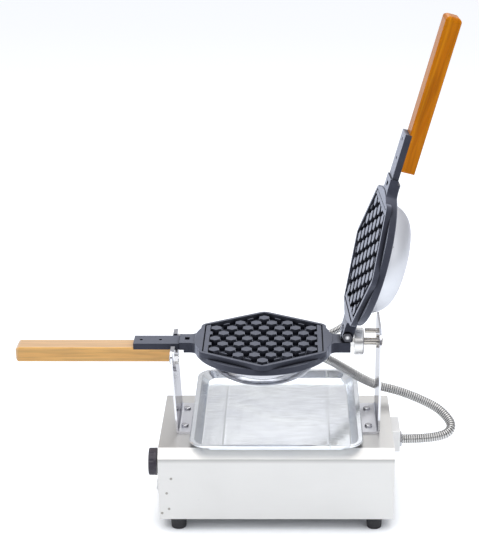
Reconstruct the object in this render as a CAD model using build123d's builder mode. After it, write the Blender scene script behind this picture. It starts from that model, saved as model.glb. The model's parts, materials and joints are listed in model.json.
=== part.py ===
import os
from math import cos, pi, radians, sin, sqrt, tan

from build123d import *

# Counter-top waffle maker with two hexagonal cast plates, drawn with the lid open.
# Millimetres, +Z up. The controls are at -X, the hinge and the supply are at +X.
# It is drawn about the middle of the cabinet, and at the end it is moved so that the origin
# is on the floor under the middle of the whole machine, measured without its hoses.

# Cabinet
cabinet_length = 350
cabinet_width = 212
cabinet_height = 112
cabinet_bevel = 13
sheet = 1.5
lip_width = 30
panel_recess = 1
panel_flange = 12
foot_height = 20
foot_diameter = 25
foot_taper = 1.5
foot_edge = 1
foot_inset_x = 28
foot_inset_y = 16
foot_bore = 12
foot_bore_depth = 12
foot_screw_diameter = 4
foot_screw_across = 7
foot_screw_head = 3
foot_screw_spare = 6
foot_screw_gap = 0.2
vent_length = 60
vent_width = 5
vent_pitch = 14
vent_count = 6
rivet_diameter = 4
rivet_shank = 2.8
rivet_proud = 0.7
rivet_places = [(19, 87), (12, 63), (15, 37), (4.5, 30)]

# Cast plates
pan_x = -20
axis_y = 6
parting_height = 135
mould_width = 180
rim_width = 5.8
rim_height = 7.5
plate_thickness = 18
body_radius = 104
back_radius = 2.5
wing_width = 90
rim_tip_radius = 14
rim_radius = 1
cavity_depth = 9
pad_rings = 3
pad_pitch = 24.26
pad_width = 14.8
pad_height = 8.3
pad_taper = 8
sliver_width = 2
shelf_width = 6.5
shelf_gap = 2
neck_width = 35
neck_drop = 1.2
neck_step = 6.5
neck_fillet = 10
latch_x = 114.7
latch_hole_length = 7
latch_hole_width = 10

# Handles
neck_end = 126
arm_end = 195
arm_width = 32
arm_drop = 3.2
arm_thickness = 6.4
lip_depth = 3.2
lip_thickness = 3
handle_start = 140
handle_end = 373
handle_height = 23.4
handle_end_radius = 7
handle_edge_radius = 2
handle_screw = 5
handle_screw_sink = 2.8
handle_screw_depth = 15.2
handle_screw_gap = 1.2
handle_screw_places = [155, 184]

# Domes, heaters and the pad behind them
dome_radius = 83
dome_depth = 40
dome_crown_radius = 370
dome_side = 0.7
dome_sheet = 1.2
dome_flange = 96
dome_screw_circle = 90
dome_screw_count = 6
dome_screw_diameter = 4
dome_screw_depth = 7
dome_screw_head = 7.5
dome_screw_rise = 2.2
heater_ring = 62
heater_rod = 8

# Flip axle, hinge and hub
axle_drop = 5.5
axle_diameter = 11
hub_diameter = 41
hub_start = 137
hub_length = 14
hub_edge = 2.5
tang_width = 16
tang_height = 8
tang_reach = 24
tang_sink = 2.5
hub_screw_x = 121.5
hub_screw_diameter = 6
right_neck_end = 131
hinge_x = 125.5
hinge_rise = 9.3
hinge_skew = (-0.0229, 0.9993, 0.03)
lid_angle = 105.29
lid_gap = 0.4
hinge_bolt = 8
hinge_fit = 0.05
tongue_width = 14
tongue_radius = 9
fork_gap = 0.5
fork_back = 8.4
fork_radius = 7
fork_top_radius = 4
hinge_seat = 16.5
bolt_across = 13
bolt_head = 5.3
bolt_end = 8
bush_flange_thickness = 2.5
ring_groove = 3.2
ring_thickness = 1
ring_bite = 0.5
ring_wall = 2.5
ring_gap = 3
axle_spare = 3.8
axle_bevel = 0.8
washer_diameter = 13
washer_thickness = 1.2
hub_screw_across = 10
hub_screw_head = 4

# Brackets
bracket_width = 104
bracket_sheet = 3
bracket_bend = 3
foot_reach = 27
foot_bolt_spacing = 61
foot_bolt_inset = 16.3
foot_bolt = 6
foot_bolt_head = 11
foot_bolt_rise = 3.3
foot_bolt_end = 7
foot_nut = 5
foot_nut_across = 10
bearing_face = 155.5
bearing_height = 164
cradle_heel = 150.8
cradle_lean = 3
cradle_height = 131
cradle_radius = 25
liner_thickness = 3
liner_wall = 21
liner_bolt_spacing = 80
liner_bolt_drop = 13
liner_bolt = 8
liner_bolt_head = 15
liner_bolt_rise = 2.2
liner_bolt_end = 1.2
cradle_corner = 10
bearing_corner = 24
bush_diameter = 18
bush_flange = 20
bush_length = 6
axle_fit = 0.05
stop_pin = 7
stop_pin_rise = 17.5
stop_pin_length = 20
stop_pin_shank = 5
stop_pin_proud = 1.2
stop_pin_bevel = 0.6

# Drip tray
tray_width = 257
tray_length = 285
tray_depth = 12.5
tray_front = 116
tray_rim = 6
tray_slope = 11
tray_end_slope = 6.5
tray_corner = 28
tray_sheet = 1
tray_bead = 3
tray_gap = 0.3
tray_press_radius = 2.5

# Controls
control_y = -72
knob_z = 99
knob_diameter = 41
knob_thickness = 12
knob_gap = 4.5
knob_bevel = 1.2
knob_skirt = 4
knob_cap = 3
knob_flutes = 12
flute_radius = 4.2
flute_out = 3
pointer_width = 1.6
pointer_depth = 0.6
thermostat_shaft_diameter = 6
shaft_end_gap = 0.5
thermostat_size = (26, 44, 36)
thermostat_neck = 10
thermostat_neck_proud = 2
switch_z = 61
bezel_size = (4, 17, 23)
bezel_lip = 1.5
switch_depth = 22
switch_pocket = 15
rocker_width = 11
rocker_radius = 8.6
rocker_flat = 0.62
rocker_gap = 0.4
rocker_pin = 2.8
rocker_tilt = 7
lamp_z = 31
lamp_diameter = 8
lamp_lip = 1
lamp_depth = 16
lamp_proud = 4
lamp_dome = 1.6
terminal_size = (46, 20, 16)
terminal_place = (90, -20)
terminal_bore = 5
terminal_pitch = 14

# Supply
junction_size = (15, 54, 35)
junction_window = (30, 19)
junction_corner = 2
junction_y = 17
junction_z = 101
conduit_y = 5
conduit_z = 99
hose_diameter = 14.5
hose_bore = 10
conduit_spigot = 12.5
hose_straight = 55.5
hose_lead = 38
rib_depth = 0.9
rib_pitch = 4.2
loop_normal = (0, -0.585, 0.811)
link_diameter = 11
link_bore = 7
link_spigot = 9
link_lead = 34
gland_y = 70
gland_z = 50
conduit_azimuth = 28
conduit_slope = 30
link_azimuth = 48
link_slope = 15
fitting_length = 8
fitting_wall = 1
gland_diameter = 20
gland_length = 11
gland_cap = 17.6
gland_taper = 15
gland_thread = 14.4
gland_reach = 10
gland_bore = 8
gland_ring = 3.5
gland_wall = 3
gland_bevel = 0.8

# Places worked out from the sizes above
cabinet_top = foot_height + cabinet_height
half_length = cabinet_length / 2
half_width = cabinet_width / 2
panel_x = half_length - panel_recess
parting_z = cabinet_top + parting_height
axle_z = parting_z - axle_drop
hinge_point = Vector(pan_x + hinge_x, axis_y, parting_z + hinge_rise)
hinge_axis = Axis(hinge_point, Vector(*hinge_skew))
pan_plane = Plane((pan_x, axis_y, parting_z))
plate_back = pan_plane.offset(-plate_thickness)
floor_z = foot_height + 2 * sheet
foot_screw_hole = foot_screw_diameter / 2 + foot_screw_gap
on_floor = (Align.CENTER, Align.CENTER, Align.MIN)
under_seat = (Align.CENTER, Align.CENTER, Align.MAX)
corner = (Align.MIN, Align.MIN)

pieces = {}


def save(node, name):
    """Keep one finished piece under its name."""
    pieces[name] = node.part


def closed_pose(piece):
    """Mirror a lower piece to the closed lid and lift it by the lid gap."""
    return piece.mirror(Plane.XY.offset(parting_z)).moved(Location((0, 0, lid_gap)))


def swung(piece):
    """Swing open a piece of the closed lid."""
    return piece.rotate(hinge_axis, lid_angle)


def lid_pose(piece):
    """The open lid's copy of a lower piece."""
    return swung(closed_pose(piece))


def button_screw(diameter, length, head, head_height):
    """Round-headed screw, head up, seat at the origin."""
    with BuildPart() as screw:
        Cylinder(head / 2, head_height, align=on_floor)
        fillet(screw.edges().group_by(Axis.Z)[-1], head_height * 0.6)
        Cylinder(diameter / 2, length, align=under_seat)
    return screw.part


def hex_screw(diameter, length, across, head_height, nut_at=0):
    """Hexagon screw, head up, seat at the origin, with a nut seated at depth nut_at."""
    with BuildPart() as screw:
        with BuildSketch():
            RegularPolygon(across / 2, 6, major_radius=False)
        extrude(amount=head_height)
        Cylinder(diameter / 2, length, align=under_seat)
        if nut_at:
            with BuildSketch(Plane.XY.offset(-nut_at)):
                RegularPolygon(across / 2, 6, major_radius=False)
            extrude(amount=-head_height)
    return screw.part


def cabinet_face(inset, bottom):
    """Bevelled end profile of the cabinet, inset from its outer skin."""
    side = half_width - inset
    top = cabinet_top - inset
    cut = cabinet_bevel - inset * (2 - sqrt(2))
    with BuildSketch() as face:
        with BuildLine():
            Polyline(
                (-side, bottom),
                (-side, top - cut),
                (-side + cut, top),
                (side - cut, top),
                (side, top - cut),
                (side, bottom),
                close=True,
            )
        make_face()
    return face.sketch


foot_places = GridLocations(
    cabinet_length - 2 * foot_inset_x, cabinet_width - 2 * foot_inset_y, 2, 2
)
foot_bolt_x = bearing_face - foot_bolt_inset
bracket_bolt_places = [
    (side * foot_bolt_x, axis_y + end * foot_bolt_spacing / 2)
    for side in (-1, 1)
    for end in (-1, 1)
]

# Cabinet sheet metal

with BuildPart() as cabinet_casing:
    with BuildSketch(Plane.YZ):
        add(cabinet_face(0, foot_height))
        add(cabinet_face(sheet, foot_height), mode=Mode.SUBTRACT)
    extrude(amount=half_length, both=True)
    with BuildSketch(Plane.XY.offset(foot_height)):
        with GridLocations(1, cabinet_width - 2 * sheet - lip_width, 1, 2):
            Rectangle(cabinet_length, lip_width)
        with foot_places:
            Circle(foot_screw_hole, mode=Mode.SUBTRACT)
    extrude(amount=sheet)
    with BuildSketch(Plane.XY.offset(cabinet_top)):
        with Locations(*bracket_bolt_places):
            Circle(foot_bolt / 2)
    extrude(amount=-sheet, mode=Mode.SUBTRACT)
    with BuildSketch(Plane.XZ):
        with Locations(*[(-half_length + inset, height) for inset, height in rivet_places]):
            Circle(rivet_shank / 2)
    extrude(amount=cabinet_width, both=True, mode=Mode.SUBTRACT)
save(cabinet_casing, "cabinet_casing")


def end_panel(side):
    """Folded end panel, its flanges turned into the cabinet."""
    with BuildPart() as panel:
        with BuildSketch(Plane.YZ.offset(side * panel_x)):
            add(cabinet_face(sheet, foot_height + sheet))
        extrude(amount=-side * panel_flange)
        inner = panel.faces().sort_by(Axis.X)[0 if side > 0 else -1]
        offset(amount=-sheet, openings=inner)
    return panel.part


with BuildPart() as control_panel:
    add(end_panel(-1))
    with BuildSketch(Plane.YZ.offset(-panel_x)):
        with Locations((control_y, knob_z)):
            Circle(thermostat_neck / 2)
        with Locations((control_y, switch_z)):
            Rectangle(bezel_size[1] - 2 * bezel_lip, bezel_size[2] - 2 * bezel_lip)
        with Locations((control_y, lamp_z)):
            Circle(lamp_diameter / 2 - lamp_lip)
    extrude(amount=sheet, mode=Mode.SUBTRACT)
    with BuildSketch(Plane.XZ):
        with Locations(*[(-half_length + inset, height) for inset, height in rivet_places]):
            Circle(rivet_shank / 2)
    extrude(amount=cabinet_width, both=True, mode=Mode.SUBTRACT)
save(control_panel, "control_panel")

with BuildPart() as rear_panel:
    add(end_panel(1))
    with BuildSketch(Plane.YZ.offset(panel_x)):
        with Locations((junction_y, junction_z)):
            Rectangle(*junction_window)
        with Locations((gland_y, gland_z)):
            Circle(gland_thread / 2)
    extrude(amount=-sheet, mode=Mode.SUBTRACT)
save(rear_panel, "rear_panel")

with BuildPart() as bottom_plate:
    with BuildSketch(Plane.XY.offset(foot_height + sheet)):
        Rectangle(2 * (panel_x - panel_flange), cabinet_width - 2 * sheet)
        with GridLocations(vent_length * 1.5, vent_pitch, 2, vent_count):
            SlotOverall(vent_length, vent_width, mode=Mode.SUBTRACT)
        with foot_places:
            Circle(foot_screw_hole, mode=Mode.SUBTRACT)
    extrude(amount=sheet)
save(bottom_plate, "bottom_plate")

with BuildPart() as panel_rivets:
    for inset, height in rivet_places:
        for side in (-1, 1):
            with BuildSketch(Plane.XZ.offset(side * (half_width - 2 * sheet))):
                with Locations((-half_length + inset, height)):
                    Circle(rivet_shank / 2)
            extrude(amount=side * 2 * sheet)
            with BuildSketch(Plane.XZ.offset(side * half_width)):
                with Locations((-half_length + inset, height)):
                    Circle(rivet_diameter / 2)
            extrude(amount=side * rivet_proud, taper=25)
save(panel_rivets, "panel_rivets")

with BuildPart() as rubber_feet:
    with foot_places:
        Cone(
            foot_diameter / 2 - foot_taper,
            foot_diameter / 2,
            foot_height,
            align=on_floor,
        )
    fillet(rubber_feet.edges().group_by(Axis.Z)[0], foot_edge)
    with foot_places:
        Cylinder(foot_bore / 2, foot_bore_depth, align=on_floor, mode=Mode.SUBTRACT)
        Cylinder(foot_screw_hole, foot_height, align=on_floor, mode=Mode.SUBTRACT)
save(rubber_feet, "rubber_feet")

foot_grip = foot_height + 2 * sheet - foot_bore_depth
foot_screw = hex_screw(
    foot_screw_diameter, foot_grip + foot_screw_spare, foot_screw_across, foot_screw_head, foot_grip
)
with BuildPart() as foot_screws:
    with foot_places:
        with Locations(Location((0, 0, foot_bore_depth), (180, 0, 0))):
            add(foot_screw)
save(foot_screws, "foot_screws")

# Controls

with BuildPart() as thermostat:
    with Locations((-panel_x + sheet + thermostat_size[0] / 2, control_y, knob_z)):
        Box(*thermostat_size)
    with BuildSketch(Plane.YZ.offset(-panel_x + sheet)):
        with Locations((control_y, knob_z)):
            Circle(thermostat_neck / 2)
    extrude(amount=-sheet - thermostat_neck_proud)
    with BuildSketch(Plane.YZ.offset(-panel_x - thermostat_neck_proud)):
        with Locations((control_y, knob_z)):
            Circle(thermostat_shaft_diameter / 2 + axle_fit)
    extrude(amount=thermostat_neck_proud + sheet + thermostat_size[0] / 2, mode=Mode.SUBTRACT)
save(thermostat, "thermostat")

knob_back = -panel_x - knob_gap
with BuildPart() as thermostat_shaft:
    with BuildSketch(Plane.YZ.offset(knob_back - knob_thickness + knob_cap)):
        with Locations((control_y, knob_z)):
            Circle(thermostat_shaft_diameter / 2)
    extrude(amount=knob_thickness - knob_cap + knob_gap + sheet + thermostat_size[0] / 2 - shaft_end_gap)
save(thermostat_shaft, "thermostat_shaft")

with BuildPart() as thermostat_knob:
    with BuildSketch(Plane.YZ.offset(knob_back)):
        with Locations((control_y, knob_z)):
            Circle(knob_diameter / 2)
    extrude(amount=-knob_thickness)
    chamfer(thermostat_knob.edges().group_by(Axis.X)[0], knob_bevel)
    with BuildSketch(Plane.YZ.offset(knob_back - knob_skirt)):
        with Locations((control_y, knob_z)):
            with PolarLocations(knob_diameter / 2 + flute_out, knob_flutes):
                Circle(flute_radius)
    extrude(amount=-knob_thickness, mode=Mode.SUBTRACT)
    with BuildSketch(Plane.YZ.offset(knob_back - knob_thickness)):
        with Locations((control_y, knob_z + knob_diameter * 0.3)):
            Rectangle(pointer_width, knob_diameter * 0.3)
    extrude(amount=pointer_depth, mode=Mode.SUBTRACT)
    with BuildSketch(Plane.YZ.offset(knob_back)):
        with Locations((control_y, knob_z)):
            Circle(thermostat_shaft_diameter / 2)
    extrude(amount=-knob_thickness + knob_cap, mode=Mode.SUBTRACT)
save(thermostat_knob, "thermostat_knob")

bezel_x = -panel_x - bezel_size[0]
pivot_x = bezel_x + rocker_radius / 2
with BuildPart() as switch_housing:
    with BuildSketch(Plane.YZ.offset(-panel_x)):
        with Locations((control_y, switch_z)):
            RectangleRounded(bezel_size[1], bezel_size[2], 1.5)
    extrude(amount=-bezel_size[0])
    with BuildSketch(Plane.YZ.offset(-panel_x)):
        with Locations((control_y, switch_z)):
            Rectangle(bezel_size[1] - 2 * bezel_lip, bezel_size[2] - 2 * bezel_lip)
    extrude(amount=switch_depth)
    with BuildSketch(Plane.YZ.offset(bezel_x)):
        with Locations((control_y, switch_z)):
            Rectangle(rocker_width + 2 * rocker_gap, 2 * (rocker_radius + rocker_gap))
    extrude(amount=switch_pocket, mode=Mode.SUBTRACT)
    with BuildSketch(Plane.XZ.offset(-control_y)):
        with Locations((pivot_x, switch_z)):
            Circle(rocker_pin / 2)
    extrude(amount=(rocker_width + rocker_pin) / 2, both=True)
save(switch_housing, "switch_housing")

with BuildPart() as switch_rocker:
    with BuildSketch(Plane.XZ.offset(-control_y)):
        with Locations((pivot_x, switch_z)):
            Circle(rocker_radius)
            Circle(rocker_pin / 2 + hinge_fit, mode=Mode.SUBTRACT)
        with Locations((pivot_x + rocker_radius, switch_z)):
            Rectangle(rocker_radius, 4 * rocker_radius, mode=Mode.SUBTRACT)
        for lean in (0, 2 * rocker_tilt):
            with Locations(Location((pivot_x - rocker_radius * rocker_flat, switch_z, 0), (0, 0, -lean))):
                Rectangle(
                    rocker_radius,
                    2 * rocker_radius,
                    align=(Align.MAX, Align.MIN if lean == 0 else Align.MAX),
                    mode=Mode.SUBTRACT,
                )
    extrude(amount=rocker_width / 2, both=True)
save(switch_rocker, "switch_rocker")

with BuildPart() as lamp_body:
    with BuildSketch(Plane.YZ.offset(-panel_x)):
        with Locations((control_y, lamp_z)):
            Circle(lamp_diameter / 2)
    extrude(amount=-lamp_lip)
    with BuildSketch(Plane.YZ.offset(-panel_x)):
        with Locations((control_y, lamp_z)):
            Circle(lamp_diameter / 2 - lamp_lip)
    extrude(amount=lamp_depth)
save(lamp_body, "lamp_body")

with BuildPart() as lamp_lens:
    with BuildSketch(Plane.YZ.offset(-panel_x - lamp_lip)):
        with Locations((control_y, lamp_z)):
            Circle(lamp_diameter / 2 - lamp_lip)
    extrude(amount=-lamp_proud + lamp_lip)
    fillet(lamp_lens.edges().group_by(Axis.X)[0], lamp_dome)
save(lamp_lens, "lamp_lens")

with BuildPart() as terminal_block:
    with Locations((*terminal_place, floor_z + terminal_size[2] / 2)):
        Box(*terminal_size)
    with BuildSketch(Plane.XZ.offset(-terminal_place[1])):
        with Locations((terminal_place[0], floor_z + terminal_size[2] / 2)):
            with GridLocations(terminal_pitch, 1, 3, 1):
                Circle(terminal_bore / 2)
    extrude(amount=terminal_size[1] / 2, both=True, mode=Mode.SUBTRACT)
save(terminal_block, "terminal_block")

# Supply box and glands on the rear panel

junction_x = panel_x + junction_size[0]
with BuildPart() as junction_box:
    with Locations((panel_x + junction_size[0] / 2, junction_y, junction_z)):
        Box(*junction_size)
    fillet(junction_box.edges().filter_by(Axis.X), junction_corner)
    offset(amount=-sheet, openings=junction_box.faces().sort_by(Axis.X)[0])
    with BuildSketch(Plane.YZ.offset(junction_x)):
        with Locations((conduit_y, conduit_z)):
            Circle(hose_bore / 2)
    extrude(amount=-sheet, mode=Mode.SUBTRACT)
save(junction_box, "junction_box")

with BuildPart() as conduit_gland:
    with BuildSketch(Plane.YZ.offset(junction_x)):
        with Locations((conduit_y, conduit_z)):
            RegularPolygon(hose_diameter / 2 + gland_wall, 6, major_radius=False)
            Circle(hose_bore / 2, mode=Mode.SUBTRACT)
    extrude(amount=gland_ring)
    chamfer(conduit_gland.edges().group_by(Axis.X)[-1].filter_by(GeomType.LINE), gland_bevel)
save(conduit_gland, "conduit_gland")

with BuildPart() as mains_gland:
    with BuildSketch(Plane.YZ.offset(panel_x)):
        with Locations((gland_y, gland_z)):
            RegularPolygon(gland_diameter / 2, 6, major_radius=False)
    extrude(amount=gland_length / 2)
    with BuildSketch(Plane.YZ.offset(panel_x + gland_length / 2)):
        with Locations((gland_y, gland_z)):
            Circle(gland_cap / 2)
    extrude(amount=gland_length / 2, taper=gland_taper)
    with BuildSketch(Plane.YZ.offset(panel_x)):
        with Locations((gland_y, gland_z)):
            Circle(gland_thread / 2)
    extrude(amount=-gland_reach)
    with BuildSketch(Plane.YZ.offset(panel_x + gland_length)):
        with Locations((gland_y, gland_z)):
            Circle(gland_bore / 2)
    extrude(amount=-gland_length - gland_reach, mode=Mode.SUBTRACT)
save(mains_gland, "mains_gland")

# Cast plates

row_pitch = pad_pitch * sqrt(3) / 2
half_mould = mould_width / 2
sliver_edge = (pad_rings + 0.5) * pad_pitch - pad_width / 2 + sliver_width
shelf_edge = half_mould - shelf_gap


def hex_distance(place):
    """Distance of a place from the middle, measured square to the nearest side of the mould."""
    x, y = place
    return max(abs(x), abs(x + y * sqrt(3)) / 2, abs(x - y * sqrt(3)) / 2)


lattice = [
    ((column + row % 2 / 2) * pad_pitch, row * row_pitch)
    for row in range(-pad_rings - 1, pad_rings + 2)
    for column in range(-pad_rings - 2, pad_rings + 2)
]
full_pads = [
    place for place in lattice if hex_distance(place) < (pad_rings + 0.25) * pad_pitch
]
edge_pads = [
    place
    for place in lattice
    if abs(hex_distance(place) / pad_pitch - pad_rings - 0.5) < 0.2
]
pad_foot = pad_width / 2 + pad_height * tan(radians(pad_taper))

with BuildSketch() as wing_face:
    Circle(body_radius)
    Rectangle(3 * body_radius, wing_width, mode=Mode.INTERSECT)

with BuildSketch() as rim_face:
    RegularPolygon(half_mould + rim_width, 6, major_radius=False, rotation=30)
    fillet(rim_face.vertices(), rim_tip_radius)
    add(wing_face.sketch)

with BuildSketch() as sliver_face:
    with Locations(*[place for place in edge_pads if abs(place[0]) < half_mould * 0.8]):
        RegularPolygon(pad_width / 2, 6, major_radius=False, rotation=30)
    RegularPolygon(sliver_edge, 6, major_radius=False, rotation=30, mode=Mode.INTERSECT)

with BuildSketch() as shelf_face:
    with Locations(*[place for place in edge_pads if abs(place[0]) > half_mould * 0.8]):
        RegularPolygon(pad_width / 2, 6, major_radius=False, rotation=30)
    with Locations((shelf_edge - shelf_width / 2, 0), (shelf_width / 2 - shelf_edge, 0)):
        Rectangle(shelf_width, mould_width)
    RegularPolygon(shelf_edge, 6, major_radius=False, rotation=30, mode=Mode.INTERSECT)


def neck_face(right_end):
    """Plan of the two necks, blended into the round body."""
    left_end = neck_end - neck_step
    with BuildSketch() as face:
        add(wing_face.sketch)
        with Locations(((right_end - left_end) / 2, 0)):
            Rectangle(right_end + left_end, neck_width)
        joint = Vector(sqrt(body_radius**2 - neck_width**2 / 4), neck_width / 2)
        inner = [
            face.vertices().sort_by_distance((side * joint.X, end * joint.Y))[0]
            for side in (-1, 1)
            for end in (-1, 1)
        ]
        fillet(inner, neck_fillet)
    return face.sketch


def cast_half(right_end):
    """One cast half in its lower place, without the ends of its right neck."""
    with BuildPart() as half:
        with BuildSketch(plate_back):
            Circle(body_radius)
        extrude(amount=plate_thickness - rim_height)
        with BuildSketch(plate_back):
            add(neck_face(right_end))
        extrude(amount=plate_thickness - neck_drop)
        fillet(half.faces().sort_by(Axis.Z)[0].edges().filter_by(GeomType.CIRCLE), back_radius)
        with BuildSketch(pan_plane.offset(-rim_height)):
            add(rim_face.sketch)
        extrude(amount=rim_height)
        with BuildSketch(pan_plane):
            RegularPolygon(half_mould, 6, major_radius=False, rotation=30)
        extrude(amount=-cavity_depth, mode=Mode.SUBTRACT)
        fillet(half.faces().sort_by(Axis.Z)[-1].outer_wire().edges(), rim_radius)
        with BuildSketch(plate_back):
            with PolarLocations(dome_screw_circle, dome_screw_count):
                Circle(dome_screw_diameter / 2)
        extrude(amount=dome_screw_depth, mode=Mode.SUBTRACT)
        with BuildSketch(pan_plane.offset(-cavity_depth)):
            with Locations(*full_pads):
                RegularPolygon(pad_foot, 6, major_radius=False, rotation=30)
        extrude(amount=pad_height, taper=pad_taper)
        with BuildSketch(pan_plane.offset(-cavity_depth)):
            add(sliver_face.sketch)
            add(shelf_face.sketch)
        extrude(amount=pad_height)
        with BuildSketch(pan_plane.offset(-neck_drop)):
            with Locations((neck_step / 2 - neck_end, 0)):
                Rectangle(neck_step, neck_width)
        extrude(amount=neck_drop - arm_drop - arm_thickness - lip_depth)
        with BuildSketch(pan_plane.offset(-arm_drop)):
            with Locations((-(arm_end + neck_end) / 2, 0)):
                Rectangle(arm_end - neck_end, arm_width)
        extrude(amount=-arm_thickness)
        with BuildSketch(pan_plane.offset(-arm_drop - arm_thickness)):
            with Locations((-(arm_end + neck_end) / 2, 0)):
                Rectangle(arm_end - neck_end, arm_width)
                Rectangle(arm_end - neck_end, arm_width - 2 * lip_thickness, mode=Mode.SUBTRACT)
        extrude(amount=-lip_depth)
        with BuildSketch(pan_plane):
            with Locations((-latch_x, 0)):
                Rectangle(latch_hole_length, latch_hole_width)
            with Locations(*[(-place, 0) for place in handle_screw_places]):
                Circle(handle_screw / 2)
        extrude(amount=-plate_thickness, mode=Mode.SUBTRACT)
    return half.part


hinge_plane = Plane(hinge_point, x_dir=(1, 0, 0), z_dir=[-value for value in hinge_skew])
tang_z = axle_z - tang_sink
lid_section = Plane(hinge_point - Vector(0, 0, hinge_rise - lid_gap), x_dir=(1, 0, 0), z_dir=(0, -1, 0))

with BuildPart() as lower_plate:
    add(cast_half(right_neck_end))
    with BuildSketch(hinge_plane):
        Circle(tongue_radius)
        with Locations((0, -(hinge_rise + 2 * neck_drop) / 2)):
            Rectangle(2 * tongue_radius, hinge_rise + 2 * neck_drop)
    extrude(amount=tongue_width / 2, both=True)
    with BuildSketch(hinge_plane):
        Circle(hinge_bolt / 2 + hinge_fit)
    extrude(amount=neck_width, both=True, mode=Mode.SUBTRACT)
    with BuildSketch(Plane.YZ.offset(pan_x + right_neck_end)):
        with Locations((axis_y, tang_z)):
            Rectangle(tang_width, tang_height)
    extrude(amount=-(tang_reach - hub_start + right_neck_end), mode=Mode.SUBTRACT)
    with BuildSketch(plate_back):
        with Locations((hub_screw_x, 0)):
            Circle(hub_screw_diameter / 2)
    extrude(amount=plate_thickness, mode=Mode.SUBTRACT)
save(lower_plate, "lower_plate")

with BuildPart() as upper_plate:
    add(closed_pose(cast_half(hinge_x + fork_back)))
    with BuildSketch(lid_section):
        with Locations((0, neck_drop)):
            Rectangle(2 * fork_back, plate_thickness, align=corner)
            Rectangle(fork_back, plate_thickness - neck_drop, align=corner, mode=Mode.SUBTRACT)
        with BuildLine():
            Polyline(
                (fork_back - fork_top_radius, plate_thickness),
                (fork_back, plate_thickness),
                (fork_back, plate_thickness - fork_top_radius),
            )
            RadiusArc(
                (fork_back - fork_top_radius, plate_thickness),
                (fork_back, plate_thickness - fork_top_radius),
                fork_top_radius,
            )
        make_face()
        with BuildLine():
            Polyline(
                (fork_back - fork_radius, neck_drop),
                (fork_back, neck_drop),
                (fork_back, neck_drop + fork_radius),
            )
            RadiusArc(
                (fork_back - fork_radius, neck_drop),
                (fork_back, neck_drop + fork_radius),
                -fork_radius,
            )
        make_face()
    extrude(amount=neck_width, both=True, mode=Mode.SUBTRACT)
    with BuildSketch(hinge_plane):
        Circle(tongue_radius + 2 * fork_gap)
        with Locations((-tongue_radius - fork_gap, 0)):
            Rectangle(2 * neck_width, neck_width, align=(Align.MIN, Align.MAX))
        Rectangle(2 * neck_width, neck_width, align=corner)
    extrude(amount=tongue_width / 2 + fork_gap, both=True, mode=Mode.SUBTRACT)
    with BuildSketch(hinge_plane):
        Circle(hinge_bolt / 2)
    extrude(amount=neck_width, both=True, mode=Mode.SUBTRACT)
    for side in (-1, 1):
        with BuildSketch(hinge_plane.offset(side * hinge_seat)):
            Circle(hinge_bolt)
        extrude(amount=side * neck_width, mode=Mode.SUBTRACT)
upper_plate.part = swung(upper_plate.part)
save(upper_plate, "upper_plate")

# Wooden handles

arm_bottom = parting_z - arm_drop - arm_thickness
with BuildPart() as lower_handle:
    with BuildSketch(Plane.YZ.offset(pan_x - handle_end)):
        with Locations((axis_y, arm_bottom - handle_height / 2)):
            RectangleRounded(arm_width, handle_height, handle_edge_radius)
    extrude(amount=handle_end - handle_start)
    with BuildSketch(Plane.XY.offset(arm_bottom)):
        with Locations((pan_x - handle_start, axis_y)):
            RectangleRounded(2 * (handle_end - handle_start), arm_width, handle_end_radius)
    extrude(amount=-handle_height, mode=Mode.INTERSECT)
    with BuildSketch(Plane.XZ.offset(-axis_y)):
        with Locations((pan_x - handle_start, arm_bottom - handle_height / 2)):
            RectangleRounded(2 * (handle_end - handle_start), handle_height, handle_end_radius)
    extrude(amount=arm_width / 2, both=True, mode=Mode.INTERSECT)
    with BuildSketch(Plane.XY.offset(arm_bottom)):
        for side in (-1, 1):
            with Locations((pan_x - arm_end, axis_y + side * (arm_width - lip_thickness) / 2)):
                Rectangle(arm_end, lip_thickness, align=(Align.MIN, Align.CENTER))
    extrude(amount=-lip_depth, mode=Mode.SUBTRACT)
    with BuildSketch(Plane.XY.offset(arm_bottom)):
        with Locations(*[(pan_x - place, axis_y) for place in handle_screw_places]):
            Circle(handle_screw / 2)
    extrude(amount=-handle_screw_depth - handle_screw_gap, mode=Mode.SUBTRACT)
save(lower_handle, "lower_handle")

with BuildPart() as lower_handle_screws:
    with BuildSketch(Plane.XY.offset(arm_bottom + arm_thickness - handle_screw_sink)):
        with Locations(*[(pan_x - place, axis_y) for place in handle_screw_places]):
            Circle(handle_screw / 2)
    extrude(amount=handle_screw_sink - arm_thickness - handle_screw_depth)
save(lower_handle_screws, "lower_handle_screws")

# Domes over the backs of the plates, with the heaters and pads inside

crown_reach = dome_crown_radius - dome_depth + dome_side
dome_knuckle = (dome_crown_radius**2 - dome_radius**2 - crown_reach**2) / (
    2 * (dome_crown_radius - dome_radius)
)
knuckle_x = dome_radius - dome_knuckle
back_z = parting_z - plate_thickness
dome_plane = Plane((pan_x, axis_y, back_z), x_dir=(1, 0, 0), z_dir=(0, -1, 0))
dome_axis = Axis((pan_x, axis_y, back_z), (0, 0, 1))


def dome_face(inset):
    """Half section of the bowl: short side, knuckle and shallow crown, inset from its outer skin."""
    crown = dome_crown_radius - inset
    knuckle = dome_knuckle - inset
    share = crown / (dome_crown_radius - dome_knuckle)
    tangent = (knuckle_x * share, crown_reach - dome_side - crown_reach * share)
    middle = pi / 4
    with BuildSketch() as face:
        with BuildLine():
            Polyline(
                (0, inset - dome_depth),
                (0, 0),
                (dome_radius - inset, 0),
                (dome_radius - inset, -dome_side),
            )
            ThreePointArc(
                (dome_radius - inset, -dome_side),
                (knuckle_x + knuckle * cos(middle), -dome_side - knuckle * sin(middle)),
                tangent,
            )
            RadiusArc(tangent, (0, inset - dome_depth), crown)
        make_face()
    return face.sketch


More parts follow.
